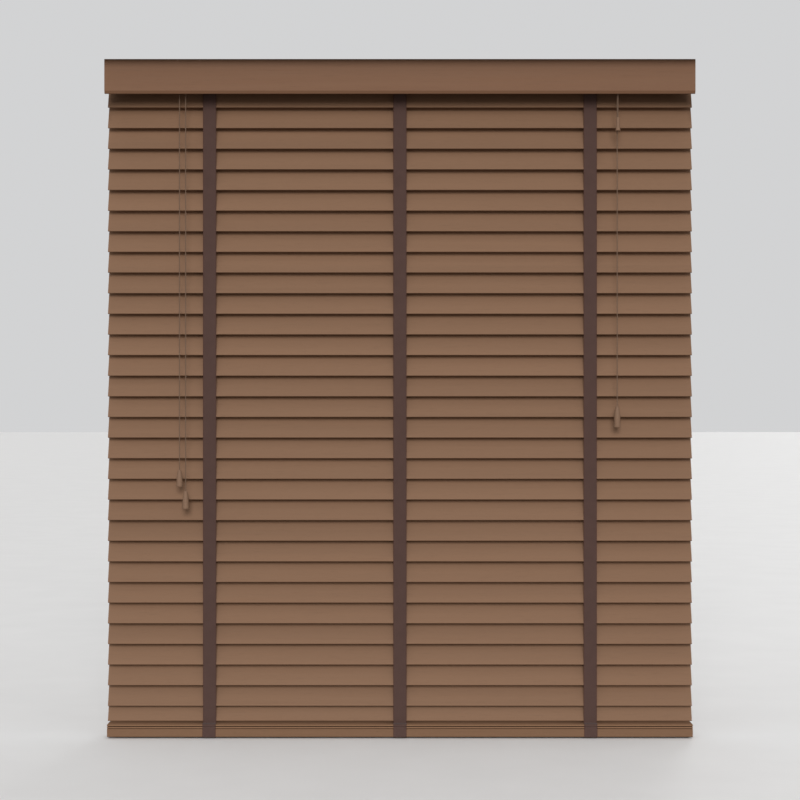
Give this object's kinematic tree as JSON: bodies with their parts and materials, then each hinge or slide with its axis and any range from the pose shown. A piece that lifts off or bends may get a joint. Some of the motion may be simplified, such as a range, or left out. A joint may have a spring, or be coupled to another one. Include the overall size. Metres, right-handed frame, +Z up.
{
  "type": "venetian blind",
  "caption": "Wooden 50 mm venetian blind: slats on ladder tapes that tilt together, valance, bottom rail, headrail with tilter and cord lock, pull cords with tassels.",
  "frame": {"origin": "centre of the centre bracket's top face, on the underside of the lintel", "axes": "+X to the right as seen from the room, -Y towards the room, +Z up"},
  "size_m": [1.2, 0.0955, 1.3886],
  "materials": {
    "slat_wood": "satin stained wood",
    "valance_wood": "satin stained wood",
    "tape": "woven tape",
    "cord": "braided cord",
    "tassel": "satin stained wood",
    "steel": "satin enamel",
    "zinc": "zinc plated",
    "moulding": "moulded",
    "gear_plastic": "moulded"
  },
  "bodies": {
    "headbox": {"headrail": "steel", "headrail_end_caps": "moulding", "valance": "valance_wood", "valance_clips": "moulding", "end_brackets": "steel", "centre_bracket": "steel", "tilter_housing": "moulding", "rod_supports": "moulding", "cord_lock_housing": "moulding", "lift_cords": "cord"},
    "tilt_shaft": {"tilt_rod": "zinc", "tilt_gear": "gear_plastic", "tape_rockers": "moulding"},
    "front_tape_set": {"front_tapes": "tape"},
    "rear_tape_set": {"rear_tapes": "tape"},
    "bottom_rail": {"bottom_rail": "slat_wood", "resting_slats": "slat_wood", "rail_tape_clips": "moulding", "tape_tails": "tape"},
    "slat_01": {"slat_01": "slat_wood"},
    "slat_02": {"slat_02": "slat_wood"},
    "slat_03": {"slat_03": "slat_wood"},
    "slat_04": {"slat_04": "slat_wood"},
    "slat_05": {"slat_05": "slat_wood"},
    "slat_06": {"slat_06": "slat_wood"},
    "slat_07": {"slat_07": "slat_wood"},
    "slat_08": {"slat_08": "slat_wood"},
    "slat_09": {"slat_09": "slat_wood"},
    "slat_10": {"slat_10": "slat_wood"},
    "slat_11": {"slat_11": "slat_wood"},
    "slat_12": {"slat_12": "slat_wood"},
    "slat_13": {"slat_13": "slat_wood"},
    "slat_14": {"slat_14": "slat_wood"},
    "slat_15": {"slat_15": "slat_wood"},
    "slat_16": {"slat_16": "slat_wood"},
    "slat_17": {"slat_17": "slat_wood"},
    "slat_18": {"slat_18": "slat_wood"},
    "slat_19": {"slat_19": "slat_wood"},
    "slat_20": {"slat_20": "slat_wood"},
    "slat_21": {"slat_21": "slat_wood"},
    "slat_22": {"slat_22": "slat_wood"},
    "slat_23": {"slat_23": "slat_wood"},
    "slat_24": {"slat_24": "slat_wood"},
    "slat_25": {"slat_25": "slat_wood"},
    "slat_26": {"slat_26": "slat_wood"},
    "slat_27": {"slat_27": "slat_wood"},
    "slat_28": {"slat_28": "slat_wood"},
    "slat_29": {"slat_29": "slat_wood"},
    "slat_30": {"slat_30": "slat_wood"},
    "slat_31": {"slat_31": "slat_wood"},
    "tilter_worm": {"tilter_worm": "gear_plastic"},
    "lift_pull": {"lift_pull_cords": "cord", "lift_tassels": "tassel"},
    "tilt_pull_short": {"tilt_cord_short": "cord", "tilt_tassel_short": "tassel"},
    "tilt_pull_long": {"tilt_cord_long": "cord", "tilt_tassel_long": "tassel"},
    "gate_left": {"gate_left": "steel"},
    "gate_right": {"gate_right": "steel"},
    "cord_lock_pawl": {"cord_lock_pawl": "zinc"}
  },
  "joints": [
    {"name": "tilt", "type": "hinge", "parent": "headbox", "child": "tilt_shaft", "pos_m": [0, 0, -0.03045], "axis": [-1, 0, 0], "range_deg": [0, 132]},
    {"name": "front_tape_swing", "type": "hinge", "parent": "tilt_shaft", "child": "front_tape_set", "pos_m": [0, -0.01131, -0.05585], "axis": [-1, 0, 0], "range_deg": [-132, 0]},
    {"name": "rear_tape_swing", "type": "hinge", "parent": "tilt_shaft", "child": "rear_tape_set", "pos_m": [0, 0.01131, -0.00505], "axis": [-1, 0, 0], "range_deg": [-132, 0]},
    {"name": "lift", "type": "slide", "parent": "headbox", "child": "bottom_rail", "axis": [0, 0, 1], "range_m": [0, 0.014]},
    {"name": "slat_01_tilt", "type": "hinge", "parent": "headbox", "child": "slat_01", "pos_m": [0, 0, -0.0711], "axis": [-1, 0, 0], "range_deg": [0, 132]},
    {"name": "slat_02_tilt", "type": "hinge", "parent": "headbox", "child": "slat_02", "pos_m": [0, 0, -0.11351], "axis": [-1, 0, 0], "range_deg": [0, 132]},
    {"name": "slat_03_tilt", "type": "hinge", "parent": "headbox", "child": "slat_03", "pos_m": [0, 0, -0.15592], "axis": [-1, 0, 0], "range_deg": [0, 132]},
    {"name": "slat_04_tilt", "type": "hinge", "parent": "headbox", "child": "slat_04", "pos_m": [0, 0, -0.19833], "axis": [-1, 0, 0], "range_deg": [0, 132]},
    {"name": "slat_05_tilt", "type": "hinge", "parent": "headbox", "child": "slat_05", "pos_m": [0, 0, -0.24074], "axis": [-1, 0, 0], "range_deg": [0, 132]},
    {"name": "slat_06_tilt", "type": "hinge", "parent": "headbox", "child": "slat_06", "pos_m": [0, 0, -0.28315], "axis": [-1, 0, 0], "range_deg": [0, 132]},
    {"name": "slat_07_tilt", "type": "hinge", "parent": "headbox", "child": "slat_07", "pos_m": [0, 0, -0.32556], "axis": [-1, 0, 0], "range_deg": [0, 132]},
    {"name": "slat_08_tilt", "type": "hinge", "parent": "headbox", "child": "slat_08", "pos_m": [0, 0, -0.36797], "axis": [-1, 0, 0], "range_deg": [0, 132]},
    {"name": "slat_09_tilt", "type": "hinge", "parent": "headbox", "child": "slat_09", "pos_m": [0, 0, -0.41038], "axis": [-1, 0, 0], "range_deg": [0, 132]},
    {"name": "slat_10_tilt", "type": "hinge", "parent": "headbox", "child": "slat_10", "pos_m": [0, 0, -0.45279], "axis": [-1, 0, 0], "range_deg": [0, 132]},
    {"name": "slat_11_tilt", "type": "hinge", "parent": "headbox", "child": "slat_11", "pos_m": [0, 0, -0.4952], "axis": [-1, 0, 0], "range_deg": [0, 132]},
    {"name": "slat_12_tilt", "type": "hinge", "parent": "headbox", "child": "slat_12", "pos_m": [0, 0, -0.53761], "axis": [-1, 0, 0], "range_deg": [0, 132]},
    {"name": "slat_13_tilt", "type": "hinge", "parent": "headbox", "child": "slat_13", "pos_m": [0, 0, -0.58002], "axis": [-1, 0, 0], "range_deg": [0, 132]},
    {"name": "slat_14_tilt", "type": "hinge", "parent": "headbox", "child": "slat_14", "pos_m": [0, 0, -0.62243], "axis": [-1, 0, 0], "range_deg": [0, 132]},
    {"name": "slat_15_tilt", "type": "hinge", "parent": "headbox", "child": "slat_15", "pos_m": [0, 0, -0.66484], "axis": [-1, 0, 0], "range_deg": [0, 132]},
    {"name": "slat_16_tilt", "type": "hinge", "parent": "headbox", "child": "slat_16", "pos_m": [0, 0, -0.70725], "axis": [-1, 0, 0], "range_deg": [0, 132]},
    {"name": "slat_17_tilt", "type": "hinge", "parent": "headbox", "child": "slat_17", "pos_m": [0, 0, -0.74966], "axis": [-1, 0, 0], "range_deg": [0, 132]},
    {"name": "slat_18_tilt", "type": "hinge", "parent": "headbox", "child": "slat_18", "pos_m": [0, 0, -0.79207], "axis": [-1, 0, 0], "range_deg": [0, 132]},
    {"name": "slat_19_tilt", "type": "hinge", "parent": "headbox", "child": "slat_19", "pos_m": [0, 0, -0.83448], "axis": [-1, 0, 0], "range_deg": [0, 132]},
    {"name": "slat_20_tilt", "type": "hinge", "parent": "headbox", "child": "slat_20", "pos_m": [0, 0, -0.87689], "axis": [-1, 0, 0], "range_deg": [0, 132]},
    {"name": "slat_21_tilt", "type": "hinge", "parent": "headbox", "child": "slat_21", "pos_m": [0, 0, -0.9193], "axis": [-1, 0, 0], "range_deg": [0, 132]},
    {"name": "slat_22_tilt", "type": "hinge", "parent": "headbox", "child": "slat_22", "pos_m": [0, 0, -0.96171], "axis": [-1, 0, 0], "range_deg": [0, 132]},
    {"name": "slat_23_tilt", "type": "hinge", "parent": "headbox", "child": "slat_23", "pos_m": [0, 0, -1.00412], "axis": [-1, 0, 0], "range_deg": [0, 132]},
    {"name": "slat_24_tilt", "type": "hinge", "parent": "headbox", "child": "slat_24", "pos_m": [0, 0, -1.04653], "axis": [-1, 0, 0], "range_deg": [0, 132]},
    {"name": "slat_25_tilt", "type": "hinge", "parent": "headbox", "child": "slat_25", "pos_m": [0, 0, -1.08894], "axis": [-1, 0, 0], "range_deg": [0, 132]},
    {"name": "slat_26_tilt", "type": "hinge", "parent": "headbox", "child": "slat_26", "pos_m": [0, 0, -1.13135], "axis": [-1, 0, 0], "range_deg": [0, 132]},
    {"name": "slat_27_tilt", "type": "hinge", "parent": "headbox", "child": "slat_27", "pos_m": [0, 0, -1.17376], "axis": [-1, 0, 0], "range_deg": [0, 132]},
    {"name": "slat_28_tilt", "type": "hinge", "parent": "headbox", "child": "slat_28", "pos_m": [0, 0, -1.21617], "axis": [-1, 0, 0], "range_deg": [0, 132]},
    {"name": "slat_29_tilt", "type": "hinge", "parent": "headbox", "child": "slat_29", "pos_m": [0, 0, -1.25858], "axis": [-1, 0, 0], "range_deg": [0, 132]},
    {"name": "slat_30_tilt", "type": "hinge", "parent": "headbox", "child": "slat_30", "pos_m": [0, 0, -1.30099], "axis": [-1, 0, 0], "range_deg": [0, 132]},
    {"name": "slat_31_tilt", "type": "hinge", "parent": "bottom_rail", "child": "slat_31", "pos_m": [0, 0, -1.33179], "axis": [-1, 0, 0], "range_deg": [0, 132]},
    {"name": "tilter_worm_turn", "type": "hinge", "parent": "headbox", "child": "tilter_worm", "pos_m": [0.444, 0, -0.01735], "axis": [0, 1, 0], "range_deg": [0, 3432]},
    {"name": "tilt_pull_short_slide", "type": "slide", "parent": "headbox", "child": "tilt_pull_short", "axis": [0, 0, -1], "range_m": [0, 0.605], "deforming": ["tilt_cord_short"]},
    {"name": "tilt_pull_long_slide", "type": "slide", "parent": "headbox", "child": "tilt_pull_long", "axis": [0, 0, 1], "range_m": [0, 0.605], "deforming": ["tilt_cord_long"]},
    {"name": "lift_pull_slide", "type": "slide", "parent": "headbox", "child": "lift_pull", "axis": [0, 0, -1], "range_m": [0, 0.014], "deforming": ["lift_pull_cords"]},
    {"name": "gate_left_slide", "type": "slide", "parent": "headbox", "child": "gate_left", "axis": [0, 0, -1], "range_m": [0, 0.046]},
    {"name": "gate_right_slide", "type": "slide", "parent": "headbox", "child": "gate_right", "axis": [0, 0, -1], "range_m": [0, 0.046]},
    {"name": "pawl_swing", "type": "hinge", "parent": "headbox", "child": "cord_lock_pawl", "pos_m": [-0.444, -0.012, -0.034], "axis": [1, 0, 0], "range_deg": [0, 20]}
  ],
  "couplings": [
    {"joint": "front_tape_swing", "follows": "tilt", "ratio": -1},
    {"joint": "rear_tape_swing", "follows": "tilt", "ratio": -1},
    {"joint": "slat_01_tilt", "follows": "tilt", "ratio": 1},
    {"joint": "slat_02_tilt", "follows": "tilt", "ratio": 1},
    {"joint": "slat_03_tilt", "follows": "tilt", "ratio": 1},
    {"joint": "slat_04_tilt", "follows": "tilt", "ratio": 1},
    {"joint": "slat_05_tilt", "follows": "tilt", "ratio": 1},
    {"joint": "slat_06_tilt", "follows": "tilt", "ratio": 1},
    {"joint": "slat_07_tilt", "follows": "tilt", "ratio": 1},
    {"joint": "slat_08_tilt", "follows": "tilt", "ratio": 1},
    {"joint": "slat_09_tilt", "follows": "tilt", "ratio": 1},
    {"joint": "slat_10_tilt", "follows": "tilt", "ratio": 1},
    {"joint": "slat_11_tilt", "follows": "tilt", "ratio": 1},
    {"joint": "slat_12_tilt", "follows": "tilt", "ratio": 1},
    {"joint": "slat_13_tilt", "follows": "tilt", "ratio": 1},
    {"joint": "slat_14_tilt", "follows": "tilt", "ratio": 1},
    {"joint": "slat_15_tilt", "follows": "tilt", "ratio": 1},
    {"joint": "slat_16_tilt", "follows": "tilt", "ratio": 1},
    {"joint": "slat_17_tilt", "follows": "tilt", "ratio": 1},
    {"joint": "slat_18_tilt", "follows": "tilt", "ratio": 1},
    {"joint": "slat_19_tilt", "follows": "tilt", "ratio": 1},
    {"joint": "slat_20_tilt", "follows": "tilt", "ratio": 1},
    {"joint": "slat_21_tilt", "follows": "tilt", "ratio": 1},
    {"joint": "slat_22_tilt", "follows": "tilt", "ratio": 1},
    {"joint": "slat_23_tilt", "follows": "tilt", "ratio": 1},
    {"joint": "slat_24_tilt", "follows": "tilt", "ratio": 1},
    {"joint": "slat_25_tilt", "follows": "tilt", "ratio": 1},
    {"joint": "slat_26_tilt", "follows": "tilt", "ratio": 1},
    {"joint": "slat_27_tilt", "follows": "tilt", "ratio": 1},
    {"joint": "slat_28_tilt", "follows": "tilt", "ratio": 1},
    {"joint": "slat_29_tilt", "follows": "tilt", "ratio": 1},
    {"joint": "slat_30_tilt", "follows": "tilt", "ratio": 1},
    {"joint": "slat_31_tilt", "follows": "tilt", "ratio": 1},
    {"joint": "tilter_worm_turn", "follows": "tilt", "ratio": 26},
    {"joint": "tilt_pull_short_slide", "follows": "tilt", "m_per_rad": 0.2626},
    {"joint": "tilt_pull_long_slide", "follows": "tilt", "m_per_rad": 0.2626},
    {"joint": "lift_pull_slide", "follows": "lift", "ratio": 1}
  ]
}
